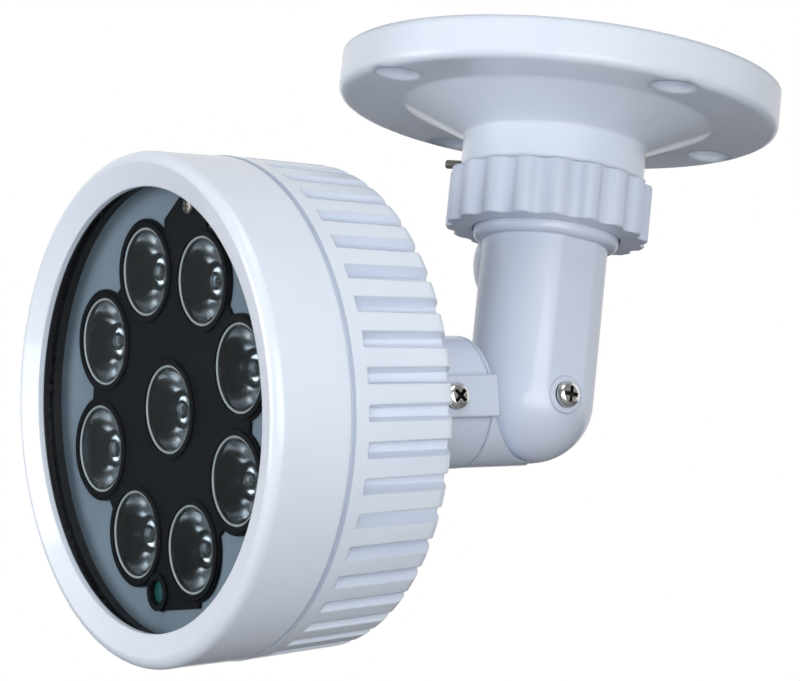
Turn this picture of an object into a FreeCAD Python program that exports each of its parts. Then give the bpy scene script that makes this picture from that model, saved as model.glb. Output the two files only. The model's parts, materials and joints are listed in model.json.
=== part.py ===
import FreeCAD, Part
import math
import os
import re
import Sketcher
from FreeCAD import Vector

# Driving dimensions in millimetres and degrees. The front of the lamp is its face with the window,
# a depth is measured from that face backwards, and a drop is measured down from the ceiling.
SIZES = {
    # Ceiling plate and neck
    "plate_radius": 55.0,
    "plate_height": 10.3,
    "plate_round": 2.0,
    "plate_floor": 3.0,
    "rim_wall": 2.6,
    "rim_band": 16.5,
    "cone_drop": 17.1,
    "neck_shoulder": 1.5,
    "neck_wall": 2.7,
    "neck_step": 26.4,
    "thread_length": 8.9,
    "thread_radius": 21.3,
    "hub_wall": 5.6,
    "plate_holes": 4,
    "hole_inset": 7.0,
    "hole_radius": 2.75,
    "counterbore_radius": 5.6,
    "counterbore_depth": 6.4,
    "boss_radius": 6.9,
    "rib_count": 8,
    "rib_thickness": 2.0,
    "rib_setback": 1.0,
    # Set screw in the neck
    "pin_bearing": 135.0,
    "pin_rise": 2.3,
    "pin_radius": 1.1,
    "pin_stand": 4.4,
    "pin_chamfer": 0.35,
    "pin_socket": 0.65,
    "pin_socket_depth": 1.6,
    # Scalloped lock ring
    "ring_gap": 0.3,
    "ring_floor": 2.3,
    "lobe_depth": 1.8,
    "ring_wall": 2.2,
    "ring_lobes": 18,
    "ring_edge": 0.7,
    "ring_clearance": 0.06,
    "ring_hole_play": 0.4,
    # Bent arm
    "arm_radius": 15.6,
    "hinge_drop": 82.6,
    "spigot_clearance": 0.06,
    "spigot_top": 18.9,
    "spigot_wall": 2.6,
    "washer_thickness": 0.8,
    "swivel_clearance": 0.1,
    "flange_play": 0.4,
    "flange_thickness": 2.2,
    "lip_stand": 2.5,
    "bead_drop": 2.7,
    "lip_round": 1.7,
    "arm_wall": 3.2,
    "bore_floor": 1.8,
    "hood_radius": 13.8,
    "hood_forward": 4.5,
    "hood_below": 4.6,
    "flat_depth": 0.8,
    "front_flat_depth": 0.9,
    "flat_start": 2.2,
    "pad_radius": 4.6,
    "pad_height": 0.5,
    # Half lap: the arm keeps the screw's side of the joint and the knuckle's ear fills the other
    "lap_face": 4.9,
    "lap_gap": 0.3,
    "window_near": 5.5,
    "window_far": 12.0,
    "window_half": 5.0,
    # Hinge screw and nut
    "screw_radius": 1.5,
    "screw_clearance": 0.05,
    "head_radius": 3.2,
    "head_height": 2.3,
    "recess_half": 0.5,
    "recess_reach": 2.0,
    "recess_depth": 1.5,
    "nut_half": 2.75,
    "nut_height": 2.4,
    "nut_clearance": 0.3,
    # Knuckle
    "hinge_reach": 111.0,
    "nose_down": 11.5,
    "nose_up_limit": 10.0,
    "barrel_stand": 0.5,
    "barrel_start": 2.8,
    "top_cut_land": 3.5,
    "top_cut_rise": 12.4,
    "web_rise": 3.0,
    "relief_start": 4.2,
    "relief_play": 0.5,
    "relief_land": 0.3,
    "spigot_step": 3.8,
    "spigot_length": 24.0,
    "cable_bore": 6.5,
    "cable_bore_start": 19.5,
    "ear_play": 0.4,
    "ear_corner": 6.0,
    "ear_hub": 4.0,
    "ear_wall": 3.2,
    "ear_cheek": 3.1,
    "ear_mouth": 4.5,
    "ear_mouth_back": 2.0,
    "passage_near": 6.8,
    "passage_start": 9.0,
    "passage_turn": 18.5,
    "passage_wall": 1.3,
    "lock_groove_depth": 1.4,
    "lock_groove_play": 0.3,
    # Tail socket on the lamp's back
    "shoulder_reach": 22.3,
    "socket_step": 0.1,
    "socket_round": 0.9,
    "socket_gap": 0.1,
    "seat_play": 1.1,
    "flange_land": 4.0,
    "socket_flange": 3.6,
    "socket_fillet": 5.0,
    "socket_screws": 4,
    "screw_inset": 3.8,
    "socket_screw_radius": 1.9,
    "socket_screw_head": 3.4,
    "socket_screw_length": 8.0,
    "lug_stand": 2.8,
    "lug_half": 4.95,
    "lug_length": 19.6,
    "lock_setback": 12.6,
    # Bezel
    "bezel_radius": 60.0,
    "bezel_draft": 0.9,
    "bezel_round": 2.6,
    "bezel_length": 20.7,
    "bezel_face": 8.2,
    "opening_depth": 1.9,
    "lip_depth": 3.3,
    "thread_clearance": 0.06,
    "bezel_wall": 3.8,
    # Window and gasket
    "gasket_wall": 0.8,
    "glass_thickness": 3.0,
    "gasket_lip": 0.6,
    "gasket_setback": 0.1,
    "gasket_seat": 3.0,
    "web_thickness": 0.8,
    # Inner plate and lens holder
    "plate_thickness": 1.2,
    "lens_inset": 18.2,
    "lens_radius": 10.4,
    "lens_gap": 1.1,
    "lens_rim": 1.0,
    "lens_height": 10.6,
    "lens_tail_radius": 4.6,
    "pocket_play": 0.6,
    "pocket_depth": 2.0,
    "lens_play": 0.1,
    "cup_wall": 1.35,
    "cup_stand": 0.3,
    "web_drop": 0.2,
    "web_rim": 2.4,
    "cup_clearance": 0.25,
    "holder_ear_play": 2.4,
    "ear_half": 9.0,
    "ear_offset": 4.7,
    "face_turn": 11.25,
    # Emitters and board
    "led_side": 5.0,
    "led_thickness": 0.8,
    "led_dome": 1.7,
    "board_gap": 0.9,
    "board_thickness": 1.6,
    "board_play": 0.5,
    "board_screw_inset": 3.0,
    "board_screws": 3,
    "board_screw_radius": 1.2,
    "board_screw_head": 2.3,
    "board_screw_head_height": 1.6,
    "board_screw_length": 6.0,
    "wire_hole_radius": 3.5,
    # Light sensor
    "sensor_across": -1.6,
    "sensor_offset": 9.5,
    "sleeve_wall": 1.4,
    "sleeve_bore": 3.0,
    "sleeve_stand": 0.6,
    "sensor_play": 0.3,
    "sensor_set": 0.5,
    "sensor_thickness": 2.0,
    "sensor_pin_radius": 0.3,
    "sensor_pin_half_gap": 1.3,
    # Finned rear housing
    "spigot_front_wall": 3.3,
    "thread_wall": 3.0,
    "seal_depth": 0.65,
    "seal_middle": 17.8,
    "seal_half": 0.7,
    "seal_groove_half": 0.8,
    "seam_rise": 0.5,
    "seam_width": 1.2,
    "housing_setback": 0.8,
    "fin_draft": 1.9,
    "fin_round": 3.5,
    "rear_wall": 6.5,
    "fin_count": 40,
    "fin_land": 3.7,
    "slot_depth": 4.3,
    "slot_tail_depth": 1.6,
    "slot_floor_width": 3.6,
    "slot_mouth_width": 5.2,
    "slot_tail_floor_width": 4.2,
    "slot_tail_mouth_width": 6.1,
    "slot_mouth_rise": 2.0,
    "cavity_step": 6.1,
    "driver_rise": 13.0,
    # Driver
    "driver_gap": 1.4,
    "driver_thickness": 1.6,
    "driver_play": 5.6,
    "post_inset": 6.0,
    "driver_post_radius": 3.4,
    "driver_screws": 4,
    "driver_screw_radius": 1.2,
    "driver_screw_head": 2.3,
    "driver_screw_head_height": 1.6,
    "driver_screw_length": 7.0,
    "capacitor_radius": 5.0,
    "capacitor_height": 8.5,
    "capacitor_offset": 17.0,
    "choke_radius": 6.0,
    "choke_height": 7.0,
    "grommet_bore": 3.0,
    "grommet_wall": 4.0,
    "grommet_land": 2.0,
    "grommet_flange_thickness": 1.6,
}

# Sizes that follow from others, so that the pieces still fit when one of those changes
FOLLOWING = {
    "cone_radius": "plate_radius - rim_band",
    "hole_circle": "plate_radius - hole_inset",
    "neck_radius": "thread_radius + neck_shoulder",
    "neck_bore": "thread_radius - neck_wall",
    "neck_end": "neck_step + thread_length",
    "pin_drop": "neck_step - pin_rise",
    "pin_tip": "neck_radius + pin_stand",
    "ring_valley": "thread_radius + ring_wall",
    "ring_crest": "ring_valley + lobe_depth",
    "ring_bottom": "neck_end + washer_thickness + 2 * swivel_clearance + flange_thickness + ring_floor",
    "ring_hole": "lip_radius + ring_hole_play",
    "flange_radius": "thread_radius - flange_play",
    "lip_radius": "arm_radius + lip_stand",
    "lip_end": "ring_bottom + bead_drop",
    "hood_drop": "lip_end + hood_below",
    "arm_bore": "arm_radius - arm_wall",
    "lap_radius": "arm_radius + lap_gap",
    "arm_bore_end": "hinge_drop - lap_radius - bore_floor",
    "flat_reach": "arm_radius - flat_depth",
    "front_flat_reach": "arm_radius - front_flat_depth",
    "pad_reach": "flat_reach + pad_height",
    "ear_reach": "flat_reach",
    "barrel_radius": "arm_radius + barrel_stand",
    "barrel_top_cut": "shoulder_reach - top_cut_land",
    "relief_root": "lap_radius + relief_play",
    "relief_rim": "shoulder_reach - relief_land",
    "spigot_radius": "barrel_radius - spigot_step",
    "ear_side_radius": "lap_radius - ear_play",
    "ear_recess_radius": "ear_side_radius - ear_wall",
    "ear_recess_end": "ear_reach - ear_cheek",
    "passage_end": "shoulder_reach - passage_wall",
    "socket_end": "hinge_reach - shoulder_reach - socket_gap",
    "socket_radius": "barrel_radius + socket_step",
    "socket_seat": "socket_end - spigot_length - seat_play",
    "socket_screw_circle": "socket_radius + socket_fillet + screw_inset",
    "socket_flange_radius": "socket_screw_circle + flange_land",
    "lug_reach": "socket_radius + lug_stand",
    "lug_start": "socket_end - lug_length",
    "lug_end": "socket_end",
    "lock_screw_depth": "socket_end - lock_setback",
    "bezel_rear_radius": "bezel_radius - bezel_draft",
    "opening_radius": "bezel_radius - bezel_face",
    "gasket_radius": "bezel_radius - bezel_wall",
    "glass_radius": "gasket_radius - gasket_wall",
    "gasket_inner": "opening_radius + gasket_setback",
    "gasket_rear_inner": "gasket_radius - gasket_seat",
    "lens_front": "lip_depth + gasket_lip + glass_thickness + lens_gap",
    "cup_front": "lens_front - cup_stand",
    "web_front": "lens_front + web_drop",
    "gasket_end": "web_front + web_thickness",
    "lens_circle": "opening_radius - lens_inset",
    "web_radius": "lens_circle + web_rim",
    "ear_radius": "gasket_rear_inner - holder_ear_play",
    "pocket_radius": "led_dome + pocket_play",
    "board_front": "lens_front + lens_height + board_gap",
    "board_radius": "spigot_front_inner - board_play",
    "board_screw_circle": "board_radius - board_screw_inset",
    "sensor_down": "lens_circle + sensor_offset",
    "sleeve_radius": "sleeve_bore + sleeve_wall",
    "sleeve_front": "web_front - sleeve_stand",
    "sensor_radius": "sleeve_bore - sensor_play",
    "sensor_front": "web_front + sensor_set",
    "housing_thread": "bezel_radius - thread_wall",
    "spigot_front_inner": "housing_thread - spigot_front_wall",
    "seal_circle": "housing_thread - seal_depth",
    "seam_floor": "housing_thread + seam_rise",
    "housing_radius": "bezel_radius - housing_setback",
    "fin_tail_radius": "housing_radius - fin_draft",
    "slot_start": "bezel_length + seam_width + fin_land",
    "cavity_radius": "spigot_front_inner - cavity_step",
    "driver_front": "board_front + board_thickness + capacitor_height + driver_gap",
    "cavity_end": "driver_front + driver_rise",
    "fin_end": "cavity_end + rear_wall",
    "driver_radius": "cavity_radius - driver_play",
    "driver_post_circle": "driver_radius - post_inset",
    "grommet_radius": "grommet_bore + grommet_wall",
    "grommet_flange": "grommet_radius + grommet_land",
}

doc = FreeCAD.newDocument("infrared_illuminator")
sheet = doc.addObject("Spreadsheet::Sheet", "Sizes")
for row, (alias, size) in enumerate(SIZES.items(), start=1):
    sheet.set("A%d" % row, alias)
    sheet.set("B%d" % row, str(size))
    sheet.setAlias("B%d" % row, alias)
doc.recompute()


# Expressions
def sized(text):
    """Write out the sizes that follow from others and point the driving ones at the sheet."""
    def written(word):
        name = word.group()
        if name in FOLLOWING:
            return "(%s)" % sized(FOLLOWING[name])
        return "Sizes." + name if name in SIZES else name
    return re.sub(r"[a-z][a-z_]+", written, text)


def value(text):
    """The number that an expression gives."""
    return float(sheet.evalExpression(sized(text)))


# Frames. The hanging frame has Z down, Y towards the lamp and its origin in the ceiling.
# The base frame is turned about Z until X runs along the set screw.
# The lamp frame has Z backwards, Y down and its origin in the middle of the lamp's front, and the
# face frame is the same one turned until the gap between two lenses is at -Y.
# The knuckle frame has its origin at the hinge, Z towards the lamp and Y up.
HANGING = "placement(vector(0; 0; 0); rotation(vector(1; 0; 0); 180))"
BASE = HANGING + " * placement(vector(0; 0; 0); rotation(vector(0; 0; 1); pin_bearing))"
LAMP = ("placement(vector(0; -hinge_reach * cos(nose_down); -hinge_drop - hinge_reach * sin(nose_down));"
        " rotation(vector(1; 0; 0); nose_down - 90))")
FACE = LAMP + " * placement(vector(0; 0; 0); rotation(vector(0; 0; 1); face_turn))"
KNUCKLE = "placement(vector(0; 0; -hinge_drop); rotation(vector(1; 0; 0); 90 + nose_down))"
HINGE = "placement(vector(pad_reach; 0; -hinge_drop); rotation(vector(0; 1; 0); 90))"
HINGE_NUT = "placement(vector(-ear_reach; 0; -hinge_drop); rotation(vector(0; 1; 0); 90))"


def shifted(frame, across, down, along, turn=None):
    """A frame moved within itself, and turned if an axis and angle are given."""
    spin = "rotation(vector(%s); %s)" % turn if turn else "rotation(vector(0; 0; 1); 0)"
    return "%s * placement(vector(%s; %s; %s); %s)" % (frame, across, down, along, spin)


# Sketches
def new_body(label, frame):
    body = doc.addObject("PartDesign::Body", label)
    body.Label = label
    body.AllowCompound = True
    body.setExpression("Placement", sized(frame))
    return body


def new_sketch(body, role, lift="0", shift="0"):
    """A sketch on one of the body's origin planes, lifted off it and shifted along its own X."""
    plane = next(item for item in body.Origin.OriginFeatures if item.Role == role)
    item = body.newObject("Sketcher::SketchObject", body.Name + "_sketch")
    item.AttachmentSupport = [(plane, "")]
    item.MapMode = "FlatFace"
    if lift != "0":
        item.setExpression("AttachmentOffset.Base.z", sized(lift))
    if shift != "0":
        item.setExpression("AttachmentOffset.Base.x", sized(shift))
    return item


def bound(item, constraint, text):
    """Add a constraint whose value is an expression."""
    index = item.addConstraint(Sketcher.Constraint(*constraint, value(text)))
    item.setExpression("Constraints[%d]" % index, sized(text))


def pin(item, edge, point, across, along):
    """Hold a sketch point at two expressions."""
    if across == "0" and along == "0":
        item.addConstraint(Sketcher.Constraint("Coincident", edge, point, -1, 1))
        return
    if across == "0":
        item.addConstraint(Sketcher.Constraint("PointOnObject", edge, point, -2))
    else:
        bound(item, ("DistanceX", -1, 1, edge, point), across)
    if along == "0":
        item.addConstraint(Sketcher.Constraint("PointOnObject", edge, point, -1))
    else:
        bound(item, ("DistanceY", -1, 1, edge, point), along)


def arc_between(start, end, radius, turn):
    """The short arc from start to end; turn is 1 for a left bend and -1 for a right one."""
    chord = end - start
    middle = start + chord * 0.5
    rise = math.sqrt(max(radius ** 2 - (chord.Length / 2) ** 2, 0.0))
    centre = middle + Vector(-chord.y, chord.x, 0).normalize() * rise * turn
    first, last = (start, end) if turn > 0 else (end, start)
    angles = [math.atan2(spot.y - centre.y, spot.x - centre.x) for spot in (first, last)]
    return Part.ArcOfCircle(Part.Circle(centre, Vector(0, 0, 1), radius), angles[0], angles[1])


def outline(item, corners, arcs=None):
    """A closed outline. arcs gives (radius, turn) for the edges that start at those corners."""
    arcs = arcs or {}
    spots = [Vector(value(across), value(along), 0) for across, along in corners]
    count = len(spots)
    first = item.GeometryCount
    ends = []
    for k in range(count):
        start, end = spots[k], spots[(k + 1) % count]
        if k in arcs:
            radius, turn = arcs[k]
            item.addGeometry(arc_between(start, end, value(radius), turn))
            ends.append((1, 2) if turn > 0 else (2, 1))
        else:
            item.addGeometry(Part.LineSegment(start, end))
            ends.append((1, 2))
    for k in range(count):
        following = (k + 1) % count
        item.addConstraint(Sketcher.Constraint("Coincident", first + k, ends[k][1],
                                               first + following, ends[following][0]))
    for k in range(count):
        pin(item, first + k, ends[k][0], *corners[k])
        if k in arcs:
            bound(item, ("Radius", first + k), arcs[k][0])
    return item


def box_outline(item, low, high):
    return outline(item, [(low[0], low[1]), (high[0], low[1]), (high[0], high[1]), (low[0], high[1])])


def circle(item, across, along, radius):
    edge = item.addGeometry(Part.Circle(Vector(value(across), value(along), 0), Vector(0, 0, 1),
                                        value(radius)))
    pin(item, edge, 3, across, along)
    bound(item, ("Radius", edge), radius)
    return item


def polygon(item, sides, half_width):
    """A regular polygon about the sketch's origin, half_width across its flats."""
    reach = "(%s) / cos(180 / %d)" % (half_width, sides)
    corners = []
    for k in range(sides):
        angle = 360.0 * k / sides + 180.0 / sides
        corners.append(("%s * cos(%g)" % (reach, angle), "%s * sin(%g)" % (reach, angle)))
    return outline(item, corners)


def cross(item, half, reach):
    """The plus-shaped outline of a cross recess."""
    return outline(item, [(half, half), (half, reach), ("-" + half, reach), ("-" + half, half),
                          ("-" + reach, half), ("-" + reach, "-" + half), ("-" + half, "-" + half),
                          ("-" + half, "-" + reach), (half, "-" + reach), (half, "-" + half),
                          (reach, "-" + half), (reach, half)])


# Features
def volume(body):
    return body.Shape.Volume if body.Shape and not body.Shape.isNull() else 0.0


def settle(body, feature, change):
    """Make the feature the body's tip and make sure that it added or removed material."""
    before = volume(body)
    body.Tip = feature
    doc.recompute()
    if (volume(body) - before) * change <= 1e-6:
        raise RuntimeError("%s changed nothing in %s" % (feature.Name, body.Label))
    return feature


def revolve(body, item, cut=False, axis="V_Axis"):
    kind = "PartDesign::Groove" if cut else "PartDesign::Revolution"
    feature = body.newObject(kind, body.Name + "_turned")
    feature.Profile = item
    feature.ReferenceAxis = (item, [axis])
    feature.Angle = 360
    return settle(body, feature, -1 if cut else 1)


def extrude(body, item, length=None, cut=False, reverse=False, both=False):
    """A pad or pocket; with no length it goes through all."""
    kind = "PartDesign::Pocket" if cut else "PartDesign::Pad"
    feature = body.newObject(kind, body.Name + "_pressed")
    feature.Profile = item
    feature.Reversed = reverse
    if both:
        feature.SideType = "Symmetric"
    if length is None:
        feature.Type = "ThroughAll"
    else:
        feature.setExpression("Length", sized(length))
    return settle(body, feature, -1 if cut else 1)


def polar(body, features, count, change):
    pattern = body.newObject("PartDesign::PolarPattern", body.Name + "_pattern")
    pattern.Originals = features
    axis = next(item for item in body.Origin.OriginFeatures if item.Role == "Z_Axis")
    pattern.Axis = (axis, [""])
    pattern.Angle = 360
    pattern.setExpression("Occurrences", sized(count))
    return settle(body, pattern, change)


def mirror(body, features, role, change):
    pattern = body.newObject("PartDesign::Mirrored", body.Name + "_mirror")
    pattern.Originals = features
    plane = next(item for item in body.Origin.OriginFeatures if item.Role == role)
    pattern.MirrorPlane = (plane, [""])
    return settle(body, pattern, change)


def loft_cut(body, first, last):
    """Cut a straight loft between two sketches."""
    feature = body.newObject("PartDesign::SubtractiveLoft", body.Name + "_lofted")
    feature.Profile = first
    feature.Sections = [last]
    feature.Ruled = True
    return settle(body, feature, -1)


def turned(label, frame, corners, arcs=None):
    """A body made by one turned profile of radius and distance along Z."""
    body = new_body(label, frame)
    revolve(body, outline(new_sketch(body, "XZ_Plane"), corners, arcs))
    return body


# Derived sizes
RING_TOP = "neck_step + ring_gap"
FLANGE_TOP = "neck_end + washer_thickness + swivel_clearance"
FLANGE_BOTTOM = "(%s) + flange_thickness" % FLANGE_TOP
SWIVEL_RADIUS = "neck_bore - spigot_clearance"
HUB_RADIUS = "neck_bore + hub_wall"
FLOOR_DROP = "plate_height - plate_floor"
CONE_SLOPE = "(cone_drop - plate_height) / (cone_radius - neck_radius)"
EAR_FACE = "lap_face + lap_gap"
SHOULDER = "shoulder_reach"
LOCK_ALONG = "hinge_reach - lock_screw_depth"
GLASS_FRONT = "lip_depth + gasket_lip"
GLASS_BACK = "lip_depth + gasket_lip + glass_thickness"
PLATE_BACK = "gasket_end + plate_thickness"
BOARD_BACK = "board_front + board_thickness"
SEAM_START = "bezel_length + thread_clearance"
SEAM_END = "bezel_length + seam_width"
GROOVE_FLOOR = "seal_circle - seal_half"
GROOVE_START = "seal_middle - seal_groove_half"
GROOVE_END = "seal_middle + seal_groove_half"
CUP_RADIUS = "lens_radius + lens_play + cup_wall"
FIN_FLAT_END = "fin_end - fin_round"
FIN_REAR_RADIUS = "fin_tail_radius - fin_round"
SLOT_MOUTH = "housing_radius + slot_mouth_rise"


# Ceiling plate with its cone, hollow neck, ribs, bosses and screw holes
def make_base_plate():
    body = turned("base_plate", BASE, [
        ("neck_bore", "0"), ("plate_radius", "0"), ("plate_radius", "plate_height - plate_round"),
        ("plate_radius - plate_round", "plate_height"), ("cone_radius", "plate_height"),
        ("neck_radius", "cone_drop"), ("neck_radius", "neck_step"), ("thread_radius", "neck_step"),
        ("thread_radius", "neck_end"), ("neck_bore", "neck_end")], {2: ("plate_round", 1)})
    hollow = new_sketch(body, "XZ_Plane")
    hollow_drop = "%s + (cone_radius - (%s)) * %s" % (FLOOR_DROP, HUB_RADIUS, CONE_SLOPE)
    outline(hollow, [(HUB_RADIUS, "0"), ("plate_radius - rim_wall", "0"),
                     ("plate_radius - rim_wall", FLOOR_DROP), ("cone_radius", FLOOR_DROP),
                     (HUB_RADIUS, hollow_drop)])
    revolve(body, hollow, cut=True)
    boss_x, boss_y = "hole_circle * cos(pin_bearing)", "-hole_circle * sin(pin_bearing)"
    boss = circle(new_sketch(body, "XY_Plane"), boss_x, boss_y, "boss_radius")
    boss_pad = extrude(body, boss, "plate_height - plate_floor / 2")
    polar(body, [boss_pad], "plate_holes", 1)
    rib = new_sketch(body, "XZ_Plane")
    rib_foot = "plate_height - plate_floor / 2"
    outline(rib, [("neck_bore + hub_wall / 2", "rib_setback"), ("plate_radius - rim_wall / 2", "rib_setback"),
                  ("plate_radius - rim_wall / 2", rib_foot), ("cone_radius", rib_foot),
                  ("neck_bore + hub_wall / 2", "%s + (cone_radius - neck_bore - hub_wall / 2) * %s"
                   % (rib_foot, CONE_SLOPE))])
    rib_pad = extrude(body, rib, "rib_thickness", both=True)
    polar(body, [rib_pad], "rib_count", 1)
    seat = circle(new_sketch(body, "XY_Plane", "plate_height"), boss_x, boss_y, "counterbore_radius")
    seat_cut = extrude(body, seat, "counterbore_depth", cut=True)
    hole = circle(new_sketch(body, "XY_Plane", "plate_height"), boss_x, boss_y, "hole_radius")
    hole_cut = extrude(body, hole, cut=True)
    polar(body, [seat_cut, hole_cut], "plate_holes", -1)
    pin_hole = circle(new_sketch(body, "YZ_Plane"), "0", "pin_drop", "pin_radius")
    extrude(body, pin_hole, cut=True, reverse=True)
    return body


def make_neck_set_screw():
    start = "%s + swivel_clearance" % SWIVEL_RADIUS
    frame = shifted(BASE, start, "0", "pin_drop", ("0; 1; 0", "90"))
    length = "pin_tip - (%s)" % start
    body = turned("neck_set_screw", frame, [
        ("0", "0"), ("pin_radius - pin_chamfer", "0"), ("pin_radius", "pin_chamfer"),
        ("pin_radius", length + " - pin_chamfer"), ("pin_radius - pin_chamfer", length), ("0", length)])
    socket = polygon(new_sketch(body, "XY_Plane", length), 6, "pin_socket")
    extrude(body, socket, "pin_socket_depth", cut=True)
    return body


def make_swivel_washer():
    return turned("swivel_washer", HANGING, [
        ("neck_bore", "neck_end"), ("flange_radius", "neck_end"),
        ("flange_radius", "neck_end + washer_thickness"), ("neck_bore", "neck_end + washer_thickness")])


# Lock ring: a turned ring whose rim is cut by tangent arcs into a smooth wave
def make_lock_ring():
    bore = "thread_radius + ring_clearance"
    ledge = "(%s) + swivel_clearance" % FLANGE_BOTTOM
    body = turned("lock_ring", HANGING, [
        (bore, RING_TOP), ("ring_crest - ring_edge", RING_TOP), ("ring_crest", RING_TOP + " + ring_edge"),
        ("ring_crest", "ring_bottom - ring_edge"), ("ring_crest - ring_edge", "ring_bottom"),
        ("ring_hole", "ring_bottom"), ("ring_hole", ledge), (bore, ledge)],
        {1: ("ring_edge", 1), 3: ("ring_edge", 1)})
    half = "(180 / ring_lobes)"
    fall = "(ring_crest - ring_valley) * (1 + cos(%s))" % half
    spread = "(ring_crest ^ 2 + ring_valley ^ 2 - 2 * ring_crest * ring_valley * cos(%s))" % half
    wave = "((sqrt((%s) ^ 2 + 2 * %s * (1 - cos(%s))) - %s) / (2 * (1 - cos(%s))))" % (
        fall, spread, half, fall, half)
    crest_x, crest_y = "(ring_crest - %s) * cos(%s)" % (wave, half), "(ring_crest - %s) * sin(%s)" % (wave, half)
    join_x, join_y = "(ring_valley + %s + %s) / 2" % (wave, crest_x), "%s / 2" % crest_y
    top_x, top_y = "ring_crest * cos(%s)" % half, "ring_crest * sin(%s)" % half
    far_x, far_y = "(ring_crest + 2) * cos(%s)" % half, "(ring_crest + 2) * sin(%s)" % half
    groove = new_sketch(body, "XY_Plane", RING_TOP + " - 1")
    outline(groove, [(top_x, "-" + top_y), (join_x, "-" + join_y), (join_x, join_y), (top_x, top_y),
                     (far_x, far_y), (far_x, "-(%s)" % far_y)],
            {0: (wave, 1), 1: (wave, -1), 2: (wave, 1)})
    cut = extrude(body, groove, cut=True, reverse=True)
    polar(body, [cut], "ring_lobes", -1)
    return body


# Arm: swivel spigot and flange at the top, shank with flats, domed lower end that is half of the hinge
def make_arm():
    body = turned("arm", HANGING, [
        ("0", "spigot_top"), (SWIVEL_RADIUS, "spigot_top"), (SWIVEL_RADIUS, FLANGE_TOP),
        ("flange_radius", FLANGE_TOP), ("flange_radius", FLANGE_BOTTOM), ("lip_radius", FLANGE_BOTTOM),
        ("lip_radius", "lip_end - lip_round"), ("lip_radius - lip_round", "lip_end"),
        ("arm_radius", "lip_end"), ("arm_radius", "hinge_drop"), ("0", "hinge_drop + arm_radius")],
        {6: ("lip_round", 1), 9: ("arm_radius", 1)})
    front = new_sketch(body, "XY_Plane", "lip_end + flat_start")
    box_outline(front, ("-arm_radius", "front_flat_reach"), ("arm_radius", "arm_radius + 5"))
    extrude(body, front, cut=True, reverse=True)
    flat = new_sketch(body, "XY_Plane", "lip_end + flat_start")
    box_outline(flat, ("flat_reach", "-arm_radius"), ("arm_radius + 5", "arm_radius"))
    flat_cut = extrude(body, flat, cut=True, reverse=True)
    mirror(body, [flat_cut], "YZ_Plane", -1)
    hood = new_sketch(body, "YZ_Plane")
    outline(hood, [("hood_forward - hood_radius", "hood_drop"), ("hood_forward + hood_radius", "hood_drop"),
                   ("hood_forward", "hood_drop + hood_radius")],
            {1: ("hood_radius", 1), 2: ("hood_radius", 1)})
    hood_turn = body.newObject("PartDesign::Revolution", "arm_hood")
    hood_turn.Profile = hood
    hood_turn.ReferenceAxis = (hood, ["Edge1"])
    hood_turn.Angle = 360
    settle(body, hood_turn, 1)
    pad = circle(new_sketch(body, "YZ_Plane", "flat_reach - 2"), "0", "hinge_drop", "pad_radius")
    extrude(body, pad, "pad_reach - flat_reach + 2")
    bore = new_sketch(body, "XZ_Plane")
    outline(bore, [("0", "spigot_top - 1"), (SWIVEL_RADIUS + " - spigot_wall", "spigot_top - 1"),
                   (SWIVEL_RADIUS + " - spigot_wall", FLANGE_TOP), ("arm_bore", FLANGE_BOTTOM + " + spigot_wall"),
                   ("arm_bore", "arm_bore_end"), ("0", "arm_bore_end")])
    revolve(body, bore, cut=True)
    lap = circle(new_sketch(body, "YZ_Plane", "-lap_face"), "0", "hinge_drop", "lap_radius")
    extrude(body, lap, cut=True)
    window = new_sketch(body, "YZ_Plane", "-window_near")
    box_outline(window, ("-window_half", "arm_bore_end - 1"), ("window_half", "hinge_drop - lap_radius + 1"))
    extrude(body, window, "window_far - window_near", cut=True)
    hinge = circle(new_sketch(body, "YZ_Plane", "-ear_reach"), "0", "hinge_drop", "screw_radius")
    extrude(body, hinge, cut=True, reverse=True)
    return body


# Screws and nuts
def make_screw(label, frame, radius, length, head, height, half, reach, depth, shift="0", count=None):
    """Pan-head cross-recess screws. The head's seat is at Z 0, the head rises along Z."""
    body = new_body(label, frame)
    profile = new_sketch(body, "XZ_Plane", "0", shift)
    length = "(%s)" % length
    crown = "0.45 * " + head
    outline(profile, [("0", "-" + length), (radius + " * 0.7", "-" + length),
                      (radius, "-%s + %s * 0.3" % (length, radius)), (radius, "0"), (head, "0"),
                      (head, height + " * 0.45"), (head + " - " + crown, height), ("0", height)],
            {5: (crown + " * 1.15", 1)})
    features = [revolve(body, profile)]
    recess = cross(new_sketch(body, "XY_Plane", height, shift), half, reach)
    features.append(extrude(body, recess, depth, cut=True))
    if count:
        polar(body, features, count, 1)
    return body


def make_hinge_nut():
    body = new_body("hinge_nut", HINGE_NUT)
    extrude(body, polygon(new_sketch(body, "XY_Plane"), 6, "nut_half"), "nut_height")
    hole = circle(new_sketch(body, "XY_Plane", "nut_height"), "0", "0", "screw_radius")
    extrude(body, hole, cut=True)
    return body


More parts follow.
